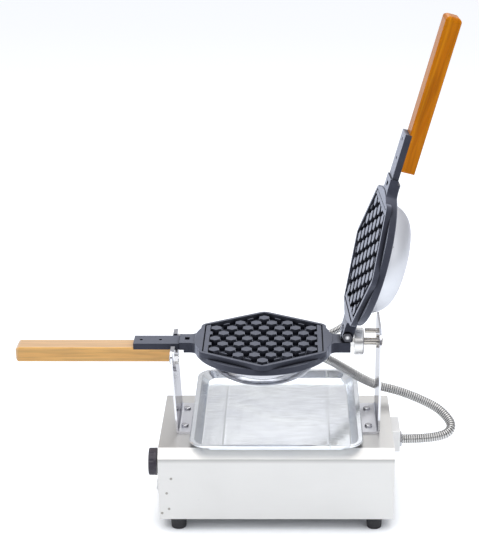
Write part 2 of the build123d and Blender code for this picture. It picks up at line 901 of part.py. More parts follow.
def knuckle_place(azimuth, slope):
    """Place and outward direction on the lower dome's knuckle."""
    reach = knuckle_x + dome_knuckle * cos(radians(slope))
    drop = dome_side + dome_knuckle * sin(radians(slope))
    turn = radians(azimuth)
    place = Vector(pan_x + reach * cos(turn), axis_y + reach * sin(turn), back_z - drop)
    flat = cos(radians(slope))
    return place, Vector(flat * cos(turn), flat * sin(turn), -sin(radians(slope)))


conduit_place, conduit_way = knuckle_place(conduit_azimuth, conduit_slope)
link_place, link_way = knuckle_place(link_azimuth, link_slope)
print("conduit meets the dome at", conduit_place, conduit_way)
print("link meets the dome at", link_place, link_way)

with BuildPart() as lower_dome:
    with BuildSketch(dome_plane):
        add(dome_face(0))
        with Locations((0, 0)):
            Rectangle(dome_flange, dome_sheet, align=(Align.MIN, Align.MAX))
        add(dome_face(dome_sheet), mode=Mode.SUBTRACT)
    revolve(axis=dome_axis)
    with BuildSketch(plate_back):
        with PolarLocations(dome_screw_circle, dome_screw_count):
            Circle(dome_screw_diameter / 2)
    extrude(amount=-dome_sheet, mode=Mode.SUBTRACT)
    with BuildSketch(Plane(conduit_place, z_dir=conduit_way)):
        Circle(conduit_spigot / 2)
    extrude(amount=2 * dome_sheet, both=True, mode=Mode.SUBTRACT)
    with BuildSketch(Plane(link_place, z_dir=link_way)):
        Circle(link_spigot / 2)
    extrude(amount=2 * dome_sheet, both=True, mode=Mode.SUBTRACT)
save(lower_dome, "lower_dome")

dome_screw = button_screw(
    dome_screw_diameter, dome_screw_depth + dome_sheet, dome_screw_head, dome_screw_rise
)
with BuildPart() as lower_dome_screws:
    with Locations((pan_x, axis_y, back_z - dome_sheet)):
        with PolarLocations(dome_screw_circle, dome_screw_count):
            with Locations(Rotation(180, 0, 0)):
                add(dome_screw)
save(lower_dome_screws, "lower_dome_screws")

with BuildPart() as lower_heater:
    with BuildSketch(dome_plane):
        with Locations((heater_ring, -heater_rod / 2)):
            Circle(heater_rod / 2)
    revolve(axis=dome_axis)
save(lower_heater, "lower_heater")

with BuildPart() as lower_insulation:
    with BuildSketch(dome_plane):
        add(dome_face(dome_sheet))
        with Locations((0, 0)):
            Rectangle(dome_flange, heater_rod, align=(Align.MIN, Align.MAX), mode=Mode.SUBTRACT)
    revolve(axis=dome_axis)
    with BuildSketch(Plane(conduit_place, z_dir=conduit_way)):
        Circle(conduit_spigot / 2)
    extrude(amount=-2 * fitting_length, mode=Mode.SUBTRACT)
    with BuildSketch(Plane(link_place, z_dir=link_way)):
        Circle(link_spigot / 2)
    extrude(amount=-2 * fitting_length, mode=Mode.SUBTRACT)
save(lower_insulation, "lower_insulation")

with BuildPart() as conduit_fitting:
    with BuildSketch(Plane(conduit_place, z_dir=conduit_way)):
        Circle(hose_diameter / 2 + fitting_wall)
        Circle(hose_bore / 2, mode=Mode.SUBTRACT)
    extrude(amount=fitting_length)
    with BuildSketch(Plane(conduit_place, z_dir=conduit_way)):
        Circle(conduit_spigot / 2)
        Circle(hose_bore / 2, mode=Mode.SUBTRACT)
    extrude(amount=-fitting_length)
save(conduit_fitting, "conduit_fitting")

with BuildPart() as lower_link_fitting:
    with BuildSketch(Plane(link_place, z_dir=link_way)):
        RegularPolygon(link_diameter / 2 + fitting_wall, 6, major_radius=False)
        Circle(link_bore / 2, mode=Mode.SUBTRACT)
    extrude(amount=fitting_length)
    with BuildSketch(Plane(link_place, z_dir=link_way)):
        Circle(link_spigot / 2)
        Circle(link_bore / 2, mode=Mode.SUBTRACT)
    extrude(amount=-fitting_length)
save(lower_link_fitting, "lower_link_fitting")

# The same pieces on the lid. Its dome has one hole only, for the link hose.

with BuildPart() as upper_handle:
    add(lid_pose(lower_handle.part))
save(upper_handle, "upper_handle")

with BuildPart() as upper_handle_screws:
    add(lid_pose(lower_handle_screws.part))
save(upper_handle_screws, "upper_handle_screws")

with BuildPart() as upper_dome:
    with BuildSketch(dome_plane):
        add(dome_face(0))
        with Locations((0, 0)):
            Rectangle(dome_flange, dome_sheet, align=(Align.MIN, Align.MAX))
        add(dome_face(dome_sheet), mode=Mode.SUBTRACT)
    revolve(axis=dome_axis)
    with BuildSketch(plate_back):
        with PolarLocations(dome_screw_circle, dome_screw_count):
            Circle(dome_screw_diameter / 2)
    extrude(amount=-dome_sheet, mode=Mode.SUBTRACT)
    with BuildSketch(Plane(link_place, z_dir=link_way)):
        Circle(link_spigot / 2)
    extrude(amount=2 * dome_sheet, both=True, mode=Mode.SUBTRACT)
upper_dome.part = lid_pose(upper_dome.part)
save(upper_dome, "upper_dome")

with BuildPart() as upper_dome_screws:
    add(lid_pose(lower_dome_screws.part))
save(upper_dome_screws, "upper_dome_screws")

with BuildPart() as upper_heater:
    add(lid_pose(lower_heater.part))
save(upper_heater, "upper_heater")

with BuildPart() as upper_insulation:
    add(lid_pose(lower_insulation.part))
save(upper_insulation, "upper_insulation")

with BuildPart() as upper_link_fitting:
    add(lid_pose(lower_link_fitting.part))
save(upper_link_fitting, "upper_link_fitting")

# Hinge bolt, hub and flip axle

with BuildPart() as hinge_bolt_nut:
    with Locations(hinge_plane.offset(hinge_seat)):
        add(hex_screw(hinge_bolt, 2 * hinge_seat + bolt_end, bolt_across, bolt_head, 2 * hinge_seat))
save(hinge_bolt_nut, "hinge_bolt")

with BuildPart() as hub:
    with BuildSketch(Plane.YZ.offset(pan_x + hub_start)):
        with Locations((axis_y, axle_z)):
            Circle(hub_diameter / 2)
    extrude(amount=hub_length)
    fillet(hub.edges().group_by(Axis.X)[-1], hub_edge)
    with BuildSketch(Plane.YZ.offset(pan_x + hub_start)):
        with Locations((axis_y, tang_z)):
            Rectangle(tang_width, tang_height)
    extrude(amount=-tang_reach)
    with BuildSketch(plate_back):
        with Locations((hub_screw_x, 0)):
            Circle(hub_screw_diameter / 2)
    extrude(amount=plate_thickness, mode=Mode.SUBTRACT)
    with BuildSketch(Plane.YZ.offset(pan_x + hub_start + hub_length)):
        with Locations((axis_y, axle_z)):
            Circle(axle_diameter / 2)
    extrude(amount=-hub_length, mode=Mode.SUBTRACT)
save(hub, "hub")

with BuildPart() as hub_screw:
    with Locations(Location((pan_x + hub_screw_x, axis_y, back_z), (180, 0, 0))):
        add(hex_screw(hub_screw_diameter, plate_thickness - neck_drop, hub_screw_across, hub_screw_head))
        Cylinder(washer_diameter / 2, washer_thickness, align=on_floor)
save(hub_screw, "hub_screw")

axle_end = bearing_face - bracket_sheet - bush_flange_thickness + bush_length + axle_spare
with BuildPart() as pivot_axle:
    with BuildSketch(Plane.YZ.offset(pan_x + hub_start)):
        with Locations((axis_y, axle_z)):
            Circle(axle_diameter / 2)
    extrude(amount=axle_end - pan_x - hub_start)
    chamfer(pivot_axle.edges().group_by(Axis.X)[-1], axle_bevel)
    with BuildSketch(Plane.YZ.offset(axle_end - ring_groove)):
        with Locations((axis_y, axle_z)):
            Circle(axle_diameter / 2)
            Circle(axle_diameter / 2 - ring_bite, mode=Mode.SUBTRACT)
    extrude(amount=ring_thickness, mode=Mode.SUBTRACT)
save(pivot_axle, "pivot_axle")

with BuildPart() as retaining_ring:
    with BuildSketch(Plane.YZ.offset(axle_end - ring_groove)):
        with Locations((axis_y, axle_z)):
            Circle(axle_diameter / 2 + ring_wall)
            Circle(axle_diameter / 2 - ring_bite, mode=Mode.SUBTRACT)
        with Locations((axis_y, axle_z - axle_diameter / 2)):
            Rectangle(ring_gap, axle_diameter, mode=Mode.SUBTRACT)
    extrude(amount=ring_thickness)
save(retaining_ring, "retaining_ring")

# Bent-sheet brackets on the cabinet


def bent_sheet(side, heel, lean, height, corner_radius):
    """Bracket of one folded sheet: a foot turned in under the pan and a wall that leans out."""
    slope = tan(radians(lean))
    thick = bracket_sheet / cos(radians(lean))
    foot_end = heel - bracket_sheet - foot_reach
    with BuildPart() as bent:
        section_plane = Plane((0, axis_y, cabinet_top), x_dir=(side, 0, 0), z_dir=(0, -side, 0))
        with BuildSketch(section_plane) as section:
            with BuildLine():
                Polyline(
                    (foot_end, 0),
                    (heel, 0),
                    (heel + height * slope, height),
                    (heel + height * slope - thick, height),
                    (heel + bracket_sheet * slope - thick, bracket_sheet),
                    (foot_end, bracket_sheet),
                    close=True,
                )
            make_face()
            fillet(section.vertices().sort_by_distance((heel, 0))[0], bracket_bend + bracket_sheet)
            fillet(section.vertices().sort_by_distance((heel - thick, bracket_sheet))[0], bracket_bend)
        extrude(amount=bracket_width / 2, both=True)
        with BuildSketch(Plane.YZ):
            with Locations((axis_y, cabinet_top)):
                RectangleRounded(bracket_width, 2 * height, corner_radius)
        extrude(amount=side * 2 * cabinet_length, mode=Mode.INTERSECT)
        with BuildSketch(Plane.XY.offset(cabinet_top)):
            with Locations(*bracket_bolt_places):
                Circle(foot_bolt / 2)
        extrude(amount=bracket_sheet, mode=Mode.SUBTRACT)
    return bent.part


with BuildPart() as bearing_bracket:
    add(bent_sheet(1, bearing_face, 0, bearing_height, bearing_corner))
    with BuildSketch(Plane.YZ.offset(bearing_face)):
        with Locations((axis_y, axle_z)):
            Circle(bush_diameter / 2)
        with Locations((axis_y, axle_z + stop_pin_rise)):
            Circle(stop_pin_shank / 2)
    extrude(amount=-bracket_sheet, mode=Mode.SUBTRACT)
save(bearing_bracket, "bearing_bracket")

axle_height = axle_z - cabinet_top
lean_slope = tan(radians(cradle_lean))
cradle_inner = cradle_heel + axle_height * lean_slope - bracket_sheet / cos(radians(cradle_lean))
cradle_plane = Plane(
    (-cradle_inner, axis_y, axle_z),
    x_dir=(0, 1, 0),
    z_dir=(cos(radians(cradle_lean)), 0, sin(radians(cradle_lean))),
)
notch_top = cradle_height - axle_height
liner_bolt_places = [(side * liner_bolt_spacing / 2, -liner_bolt_drop) for side in (-1, 1)]

with BuildSketch() as notch_face:
    Circle(cradle_radius)
    Rectangle(2 * cradle_radius, 2 * cradle_radius, align=(Align.CENTER, Align.MIN))

with BuildPart() as cradle_bracket:
    add(bent_sheet(-1, cradle_heel, cradle_lean, cradle_height, cradle_corner))
    with BuildSketch(cradle_plane):
        add(notch_face.sketch)
        with Locations(*liner_bolt_places):
            Circle(liner_bolt / 2)
    extrude(amount=2 * bracket_sheet, both=True, mode=Mode.SUBTRACT)
save(cradle_bracket, "cradle_bracket")

with BuildPart() as cradle_liner:
    with BuildSketch(cradle_plane):
        Circle(cradle_radius + liner_wall)
        Rectangle(2 * (cradle_radius + liner_wall), notch_top, align=(Align.CENTER, Align.MIN))
        with Locations((0, notch_top)):
            Rectangle(
                3 * cradle_radius + liner_wall,
                cradle_radius + liner_wall,
                align=(Align.CENTER, Align.MIN),
                mode=Mode.SUBTRACT,
            )
        add(notch_face.sketch, mode=Mode.SUBTRACT)
        with Locations(*liner_bolt_places):
            Circle(liner_bolt / 2, mode=Mode.SUBTRACT)
    extrude(amount=liner_thickness)
save(cradle_liner, "cradle_liner")

liner_grip = bracket_sheet + liner_thickness
liner_screw = button_screw(
    liner_bolt, liner_grip + bolt_head + liner_bolt_end, liner_bolt_head, liner_bolt_rise
)
with BuildPart() as liner_bolts:
    with Locations(cradle_plane.offset(-bracket_sheet)):
        with Locations(*[Location((x, y, 0), (180, 0, 0)) for x, y in liner_bolt_places]):
            add(liner_screw)
    with BuildSketch(cradle_plane.offset(liner_thickness)):
        with Locations(*liner_bolt_places):
            RegularPolygon(bolt_across / 2, 6, major_radius=False)
    extrude(amount=bolt_head)
save(liner_bolts, "liner_bolts")

with BuildPart() as bracket_bolts:
    with Locations(*[(x, y, cabinet_top + bracket_sheet) for x, y in bracket_bolt_places]):
        add(button_screw(foot_bolt, bracket_sheet + sheet + foot_bolt_end, foot_bolt_head, foot_bolt_rise))
    with BuildSketch(Plane.XY.offset(cabinet_top - sheet)):
        with Locations(*bracket_bolt_places):
            RegularPolygon(foot_nut_across / 2, 6, major_radius=False)
    extrude(amount=-foot_nut)
save(bracket_bolts, "bracket_bolts")

with BuildPart() as shaft_bush:
    with BuildSketch(Plane.YZ.offset(bearing_face - bracket_sheet)):
        with Locations((axis_y, axle_z)):
            Circle(bush_flange / 2)
    extrude(amount=-bush_flange_thickness)
    with BuildSketch(Plane.YZ.offset(bearing_face - bracket_sheet)):
        with Locations((axis_y, axle_z)):
            Circle(bush_diameter / 2)
    extrude(amount=bush_length - bush_flange_thickness)
    with BuildSketch(Plane.YZ.offset(bearing_face)):
        with Locations((axis_y, axle_z)):
            Circle(axle_diameter / 2 + axle_fit)
    extrude(amount=bush_length, both=True, mode=Mode.SUBTRACT)
save(shaft_bush, "shaft_bush")

with BuildPart() as stop_pin_piece:
    with BuildSketch(Plane.YZ.offset(bearing_face - bracket_sheet)):
        with Locations((axis_y, axle_z + stop_pin_rise)):
            Circle(stop_pin / 2)
    extrude(amount=-stop_pin_length)
    chamfer(stop_pin_piece.edges().group_by(Axis.X)[0], stop_pin_bevel)
    with BuildSketch(Plane.YZ.offset(bearing_face - bracket_sheet)):
        with Locations((axis_y, axle_z + stop_pin_rise)):
            Circle(stop_pin_shank / 2)
    extrude(amount=bracket_sheet + stop_pin_proud)
save(stop_pin_piece, "stop_pin")

# Drip tray

tray_y = tray_length / 2 - tray_front
tray_bottom = cabinet_top + tray_gap
with BuildSketch(Plane((0, tray_y, tray_bottom + tray_depth - tray_bead / 2))) as bead_outline:
    RectangleRounded(tray_width - tray_bead, tray_length - tray_bead, tray_corner - tray_bead / 2)
bead_path = bead_outline.sketch.face().outer_wire()
with BuildPart() as drip_tray:
    for inset, low in ((0, 0), (tray_sheet, tray_sheet)):
        with BuildSketch(Plane((0, tray_y, tray_bottom + low))):
            RectangleRounded(
                tray_width - 2 * (tray_rim + tray_slope + inset),
                tray_length - 2 * (tray_rim + tray_end_slope + inset),
                tray_corner - tray_slope - inset,
            )
        with BuildSketch(Plane((0, tray_y, tray_bottom + tray_depth))):
            RectangleRounded(
                tray_width - 2 * (tray_rim + inset),
                tray_length - 2 * (tray_rim + inset),
                tray_corner - tray_rim - inset,
            )
        loft(mode=Mode.SUBTRACT if inset else Mode.ADD)
    with BuildSketch(Plane((0, tray_y, tray_bottom + tray_depth))):
        RectangleRounded(tray_width - tray_bead, tray_length - tray_bead, tray_corner - tray_bead / 2)
        RectangleRounded(
            tray_width - 2 * (tray_rim + tray_sheet),
            tray_length - 2 * (tray_rim + tray_sheet),
            tray_corner - tray_rim - tray_sheet,
            mode=Mode.SUBTRACT,
        )
    extrude(amount=-tray_sheet)
    floor_edges = drip_tray.edges().filter_by(Plane.XY)
    fillet(floor_edges.group_by(Axis.Z)[0], tray_press_radius + tray_sheet)
    fillet(floor_edges.group_by(Axis.Z)[1], tray_press_radius)
    with BuildSketch(Plane(bead_path @ 0, z_dir=bead_path % 0)):
        Circle(tray_bead / 2)
    sweep(path=bead_path)
save(drip_tray, "drip_tray")

# Hoses


arc_share = 0.45


def hose_line(name, points):
    """Centre line of a hose: straight runs joined by arcs as large as the runs allow."""
    radii = []
    for before, bend, after in zip(points, points[1:], points[2:]):
        back = before - bend
        ahead = after - bend
        turn = radians(180 - back.get_angle(ahead))
        radii.append(arc_share * min(back.length, ahead.length) / tan(turn / 2))
    print(name, "radii", [round(radius, 1) for radius in radii])
    with BuildLine() as line:
        FilletPolyline(*points, radius=radii)
    return line.wire()


def hose_volume(name, hose, line, outer, bore):
    """Print how the hose's volume compares with its section times its length."""
    share = hose.part.volume / (pi / 4 * (outer**2 - bore**2) * line.length)
    print(name, "length", round(line.length, 1), "volume", round(share, 3), "of the plain tube")


conduit_line = hose_line(
    "conduit",
    [
        Vector(junction_x + gland_ring, conduit_y, conduit_z),
        Vector(junction_x + gland_ring + hose_straight, conduit_y, conduit_z),
        Vector(275.5, 19.5, 110.5),
        Vector(257, 44, 129),
        Vector(228, 61, 139),
        Vector(190, 72, 150.5),
        Vector(148, 81, 157),
        conduit_place + conduit_way * hose_lead,
        conduit_place + conduit_way * fitting_length,
    ],
)
rib_count = int((conduit_line.length - 2 * rib_pitch) / rib_pitch)
rib_start = (conduit_line.length - (rib_count - 1) * rib_pitch) / 2
core_radius = hose_diameter / 2 - rib_depth
rib_profile = [(-0.42, 0), (-0.18, rib_depth), (0.18, rib_depth), (0.42, 0)]
ribs = []
for index in range(rib_count):
    rings = []
    for shift, rise in rib_profile:
        reach = rib_start + (index + shift) * rib_pitch
        place = conduit_line.position_at(reach, position_mode=PositionMode.LENGTH)
        way = conduit_line.tangent_at(reach, position_mode=PositionMode.LENGTH)
        with BuildSketch(Plane(place, x_dir=loop_normal, z_dir=way)) as ring:
            Circle(core_radius + rise)
        rings.append(ring.sketch)
    with BuildPart() as rib:
        loft(rings, ruled=True)
    ribs.append(rib.part)

with BuildPart() as conduit:
    with BuildSketch(Plane(conduit_line @ 0, x_dir=loop_normal, z_dir=conduit_line % 0)):
        Circle(core_radius)
    sweep(path=conduit_line)
    add(ribs)
    with BuildSketch(Plane(conduit_line @ 0, x_dir=loop_normal, z_dir=conduit_line % 0)):
        Circle(hose_bore / 2)
    sweep(path=conduit_line, mode=Mode.SUBTRACT)
save(conduit, "conduit")
hose_volume("conduit", conduit, conduit_line, 2 * core_radius, hose_bore)

link_end = link_place + link_way * fitting_length
link_turn = link_place + link_way * link_lead


def on_lid(place):
    """The place on the open lid that answers to a place on the lower pan."""
    closed = Vector(place.X, place.Y, 2 * parting_z + lid_gap - place.Z)
    arm = closed - hinge_point
    return hinge_point + arm.rotate(Axis((0, 0, 0), hinge_skew), lid_angle)


link_line = hose_line(
    "link_hose",
    [link_end, link_turn, Vector(98, 77, 251), Vector(122, 79, 277), on_lid(link_turn), on_lid(link_end)],
)
with BuildPart() as link_hose:
    with BuildSketch(Plane(link_line @ 0, z_dir=link_line % 0)):
        Circle(link_diameter / 2)
        Circle(link_bore / 2, mode=Mode.SUBTRACT)
    sweep(path=link_line)
save(link_hose, "link_hose")
hose_volume("link_hose", link_hose, link_line, link_diameter, link_bore)
print("link points", link_end, link_turn, on_lid(link_turn), on_lid(link_end))

# Placing: the origin goes on the floor under the middle of the machine's box

hoses = ("conduit", "link_hose")
boxes = [piece.bounding_box() for name, piece in pieces.items() if name not in hoses]
middle_x = (min(box.min.X for box in boxes) + max(box.max.X for box in boxes)) / 2
middle_y = (min(box.min.Y for box in boxes) + max(box.max.Y for box in boxes)) / 2
print("middle", middle_x, middle_y)
os.makedirs("parts", exist_ok=True)
for name, piece in pieces.items():
    placed = piece.moved(Location((-middle_x, -middle_y, 0)))
    placed.label = name
    export_step(placed, f"parts/{name}.step")
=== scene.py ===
import json
from math import cos, pi, radians, sin

import bmesh
import bpy
from mathutils import Matrix, Vector


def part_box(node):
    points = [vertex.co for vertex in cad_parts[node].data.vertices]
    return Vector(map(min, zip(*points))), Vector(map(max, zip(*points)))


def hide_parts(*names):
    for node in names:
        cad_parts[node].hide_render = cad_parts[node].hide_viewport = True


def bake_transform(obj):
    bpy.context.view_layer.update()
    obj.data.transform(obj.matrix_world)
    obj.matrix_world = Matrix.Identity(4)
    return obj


# Studio picture of a counter-top waffle maker with its lid open.
# Metres, in the frame of the CAD model: +Z up, controls and handles at -X, hinge at +X.

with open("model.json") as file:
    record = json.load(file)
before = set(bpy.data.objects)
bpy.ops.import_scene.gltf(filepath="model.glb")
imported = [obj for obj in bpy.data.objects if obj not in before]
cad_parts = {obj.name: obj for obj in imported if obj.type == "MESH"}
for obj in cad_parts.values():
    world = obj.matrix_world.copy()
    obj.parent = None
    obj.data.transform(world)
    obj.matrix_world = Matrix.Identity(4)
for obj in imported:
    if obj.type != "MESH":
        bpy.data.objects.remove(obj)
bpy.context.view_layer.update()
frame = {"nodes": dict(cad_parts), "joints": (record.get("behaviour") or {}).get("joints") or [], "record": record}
record = frame["record"]
joints = {joint["name"]: joint for joint in frame["joints"]}

# Places are given from the point of the floor under the middle of the cabinet

cabinet_low, cabinet_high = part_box("cabinet_casing")
middle = Vector([(low + high) / 2 for low, high in zip(cabinet_low, cabinet_high)])
middle.z = 0


def at(*place):
    return middle + Vector(place)


# Camera, fitted to the photograph's perspective

photo_height = 540
focal_length_px = 1562.69
sensor = 24
camera_place = (0.02057, -2.17265, 1.16405)
camera_down = 0.356
camera_turn = 0.0015
camera_shift = (-0.0900, 0.0252)


def make_camera():
    data = bpy.data.cameras.new("camera")
    data.sensor_fit = "VERTICAL"
    data.sensor_height = sensor
    data.lens = focal_length_px / photo_height * sensor
    data.shift_x, data.shift_y = camera_shift
    camera = bpy.data.objects.new("camera", data)
    camera.location = at(*camera_place)
    camera.rotation_euler = (pi / 2 - camera_down, 0, camera_turn)
    bpy.context.scene.collection.objects.link(camera)
    bpy.context.scene.camera = camera


make_camera()

# Hoses

conduit_route = [
    (0.1925, 0.005, 0.099),
    (0.248, 0.005, 0.099),
    (0.2755, 0.0195, 0.1105),
    (0.257, 0.044, 0.129),
    (0.228, 0.061, 0.139),
    (0.190, 0.072, 0.1505),
    (0.148, 0.081, 0.157),
    (0.078086, 0.058153, 0.211313),
    (0.055147, 0.045956, 0.226313),
]
conduit_diameter = 0.0145
conduit_rib = 0.0034
link_route = [
    (0.039888, 0.072513, 0.236919),
    (0.056693, 0.091176, 0.230190),
    (0.098, 0.077, 0.251),
    (0.122, 0.079, 0.277),
    (0.140289, 0.092696, 0.317405),
    (0.139309, 0.073662, 0.335090),
]
link_diameter = 0.011
link_rib = 0.0026
rib_share = 0.16
# One rib, as shares of its pitch and of its height
rib_profile = [(0.0, 0.0), (0.22, 0.75), (0.42, 1.0), (0.6, 1.0), (0.8, 0.75)]
hose_sides = 24
spline_order = 3
spline_steps = 24


def spline_line(name, route):
    """Points along the smooth curve that has the route's points as its control points."""
    curve = bpy.data.curves.new(name, "CURVE")
    curve.dimensions = "3D"
    spline = curve.splines.new("NURBS")
    spline.points.add(len(route) - 1)
    for point, place in zip(spline.points, route):
        point.co = (*place, 1)
    spline.order_u = spline_order
    spline.use_endpoint_u = True
    spline.resolution_u = spline_steps
    holder = bpy.data.objects.new(name, curve)
    mesh = bpy.data.meshes.new_from_object(holder)
    line = [vertex.co.copy() for vertex in mesh.vertices]
    bpy.data.objects.remove(holder)
    bpy.data.meshes.remove(mesh)
    bpy.data.curves.remove(curve)
    return line


def spans(line):
    """Distance from each point of the line to the next."""
    return [(after - before).length for before, after in zip(line, line[1:])]


def line_length(line):
    return sum(spans(line))


def walk(line, reaches):
    """Place and direction at each distance along the line, in rising order."""
    steps = []
    gaps = spans(line)
    index, start = 0, 0
    for reach in reaches:
        while index < len(gaps) - 1 and start + gaps[index] < reach:
            start += gaps[index]
            index += 1
        way = (line[index + 1] - line[index]).normalized()
        steps.append((line[index] + way * (reach - start), way))
    return steps


def ribbed_tube(name, line, diameter, pitch):
    """Mesh tube along the line, with one round rib for each pitch."""
    length = line_length(line)
    count = int(length / pitch)
    pitch = length / count
    ribs = [((turn + share) * pitch, rise) for turn in range(count) for share, rise in rib_profile]
    reaches, rises = zip(*ribs, (length, 0))
    tube = bmesh.new()
    crest = tube.verts.layers.float.new("crest")
    across = (line[1] - line[0]).orthogonal().normalized()
    rings = []
    for (place, way), rise in zip(walk(line, reaches), rises):
        across = (across - way * across.dot(way)).normalized()
        other = way.cross(across)
        radius = diameter / 2 * (1 - rib_share + rib_share * rise)
        ring = []
        for side in range(hose_sides):
            turn = 2 * pi * side / hose_sides
            point = tube.verts.new(place + (across * cos(turn) + other * sin(turn)) * radius)
            point[crest] = rise
            ring.append(point)
        rings.append(ring)
    for before, after in zip(rings, rings[1:]):
        for side in range(hose_sides):
            beside = (side + 1) % hose_sides
            tube.faces.new((before[side], before[beside], after[beside], after[side]))
    tube.faces.new(rings[0][::-1])
    tube.faces.new(rings[-1])
    for face in tube.faces:
        face.smooth = True
    return mesh_object(name, tube)


def mesh_object(name, shape):
    """Turn a finished bmesh into an object of the scene."""
    mesh = bpy.data.meshes.new(name)
    bmesh.ops.recalc_face_normals(shape, faces=shape.faces)
    shape.to_mesh(mesh)
    shape.free()
    piece = bpy.data.objects.new(name, mesh)
    bpy.context.scene.collection.objects.link(piece)
    return piece


def make_hose(node, places, diameter, pitch):
    """Ribbed hose in place of the CAD tube, bending between its two bodies."""
    route = [tuple(at(*place)) for place in places]
    line = spline_line(node + "_line", route)
    hose = ribbed_tube(node + "_ribs", line, diameter, pitch)
    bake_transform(hose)
    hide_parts(node)
    return hose


conduit_hose = make_hose("conduit", conduit_route, conduit_diameter, conduit_rib)
link_hose = make_hose("link_hose", link_route, link_diameter, link_rib)

# Material building blocks. Textures run in metres on the object's own coordinates,
# so a noise scale is in cells for each metre.


def shade(color, factor):
    return tuple(min(channel * factor, 1) for channel in color)


edge_coolness = 1.04
first_color, second_color, mixed_color = 6, 7, 2  # sockets of a Mix node that mixes colours


class Nodes:
    """A node tree, with short names for the nodes that its users share."""

    def __init__(self, tree):
        self.tree = tree

    def node(self, kind, **values):
        made = self.tree.nodes.new(kind)
        for key, value in values.items():
            setattr(made, key, value)
        return made

    def link(self, output, node, entry):
        self.tree.links.new(output, node.inputs[entry])

    def math(self, operation, *values):
        """Math node over sockets and plain numbers."""
        made = self.node("ShaderNodeMath", operation=operation)
        for entry, value in enumerate(values):
            if isinstance(value, (int, float)):
                made.inputs[entry].default_value = value
            else:
                self.link(value, made, entry)
        return made.outputs["Value"]

    def ramp(self, value, *stops):
        """Colour by a value, between two stops of a place and a colour."""
        ramp = self.node("ShaderNodeValToRGB")
        for element, (place, color) in zip(ramp.color_ramp.elements, stops):
            element.position = place
            element.color = (*color, 1)
        self.link(value, ramp, "Fac")
        return ramp.outputs["Color"]


class Finish(Nodes):
    """One material, with what the finishes share."""

    def __init__(self, name, color, roughness, metallic=0.0):
        self.material = bpy.data.materials.new(name)
        self.material.use_nodes = True
        super().__init__(self.material.node_tree)
        self.shader = self.tree.nodes["Principled BSDF"]
        self.color = color
        self.roughness = roughness
        self.adjust({"Base Color": (*color, 1), "Roughness": roughness, "Metallic": metallic})

    def adjust(self, values):
        """Set plain values on the shader's own sockets."""
        for entry, value in values.items():
            self.shader.inputs[entry].default_value = value

    def edge(self, share):
        """Keep this share of a metal's reflection where it is seen at a low angle."""
        self.adjust({"Specular Tint": (share, share, min(share * edge_coolness, 1), 1)})

    def coordinates(self, along=None, stretch=(1, 1, 1)):
        """Object coordinates, stretched; with along, their X runs in that direction."""
        source = self.node("ShaderNodeTexCoord").outputs["Object"]
        if along is None:
            mapping = self.node("ShaderNodeMapping")
            mapping.inputs["Scale"].default_value = stretch
            self.link(source, mapping, "Vector")
            return mapping.outputs["Vector"]
        first = Vector(along).normalized()
        second = first.cross(Vector((0, 1, 0))).normalized()
        third = first.cross(second)
        joined = self.node("ShaderNodeCombineXYZ")
        for entry, way, scale in zip("XYZ", (first, second, third), stretch):
            dot = self.node("ShaderNodeVectorMath", operation="DOT_PRODUCT")
            self.link(source, dot, 0)
            dot.inputs[1].default_value = way * scale
            self.link(dot.outputs["Value"], joined, entry)
        return joined.outputs["Vector"]

    def place_on(self, axis):
        """The object coordinate on one axis."""
        places = self.node("ShaderNodeSeparateXYZ")
        self.link(self.coordinates(), places, "Vector")
        return places.outputs[axis]

    def noise(self, scale, detail, stretch=(1, 1, 1), along=None, distortion=0.0):
        texture = self.node("ShaderNodeTexNoise")
        texture.inputs["Scale"].default_value = scale
        texture.inputs["Detail"].default_value = detail
        texture.inputs["Distortion"].default_value = distortion
        self.link(self.coordinates(along, stretch), texture, "Vector")
        return texture.outputs["Fac"]

    def openness(self, reach, samples, low, start, end):
        """1 where the surface is open, low where something stands within reach of it."""
        shadow = self.node("ShaderNodeAmbientOcclusion", samples=samples)
        shadow.inputs["Distance"].default_value = reach
        return self.shift(shadow.outputs["AO"], low, 1, start=start, end=end)

    def shift(self, value, low, high, start=0.3, end=0.7):
        """Map a texture's usual range onto low to high."""
        mapped = self.node("ShaderNodeMapRange")
        mapped.inputs["From Min"].default_value = start
        mapped.inputs["From Max"].default_value = end
        mapped.inputs["To Min"].default_value = low
        mapped.inputs["To Max"].default_value = high
        self.link(value, mapped, "Value")
        return mapped.outputs["Result"]

    def tint(self, value, low, high, start=0.3, end=0.7):
        """Colour the surface between two colours by a texture."""
        return self.ramp(value, (start, low), (end, high))

    def mottle(self, value, low, high):
        """Paint the finish's own colour, from darker to lighter by a texture."""
        self.paint(self.tint(value, shade(self.color, low), shade(self.color, high)))

    def mix(self, share, first, second):
        """Mix two colours, each a socket or a plain colour."""
        mixed = self.node("ShaderNodeMix", data_type="RGBA")
        self.link(share, mixed, "Factor")
        for entry, color in ((first_color, first), (second_color, second)):
            if isinstance(color, tuple):
                mixed.inputs[entry].default_value = (*color, 1)
            else:
                self.link(color, mixed, entry)
        return mixed.outputs[mixed_color]

    def paint(self, output):
        self.link(output, self.shader, "Base Color")

    def roughen(self, value, spread=0.05):
        """Vary the roughness about its own value by a texture."""
        varied = self.shift(value, self.roughness - spread, self.roughness + spread)
        self.link(varied, self.shader, "Roughness")

    def bump(self, *reliefs):
        """Relief from (texture, height in metres) pairs, one on another."""
        normal = None
        for value, height in reliefs:
            bump = self.node("ShaderNodeBump")
            bump.inputs["Strength"].default_value = 1
            bump.inputs["Distance"].default_value = height
            self.link(value, bump, "Height")
            if normal:
                self.link(normal, bump, "Normal")
            normal = bump.outputs["Normal"]
        self.link(normal, self.shader, "Normal")


# Bare metal

polish_color = (0.78, 0.785, 0.82)
polish_roughness = 0.14
polish_edge = 0.5
metal_spread = 0.04


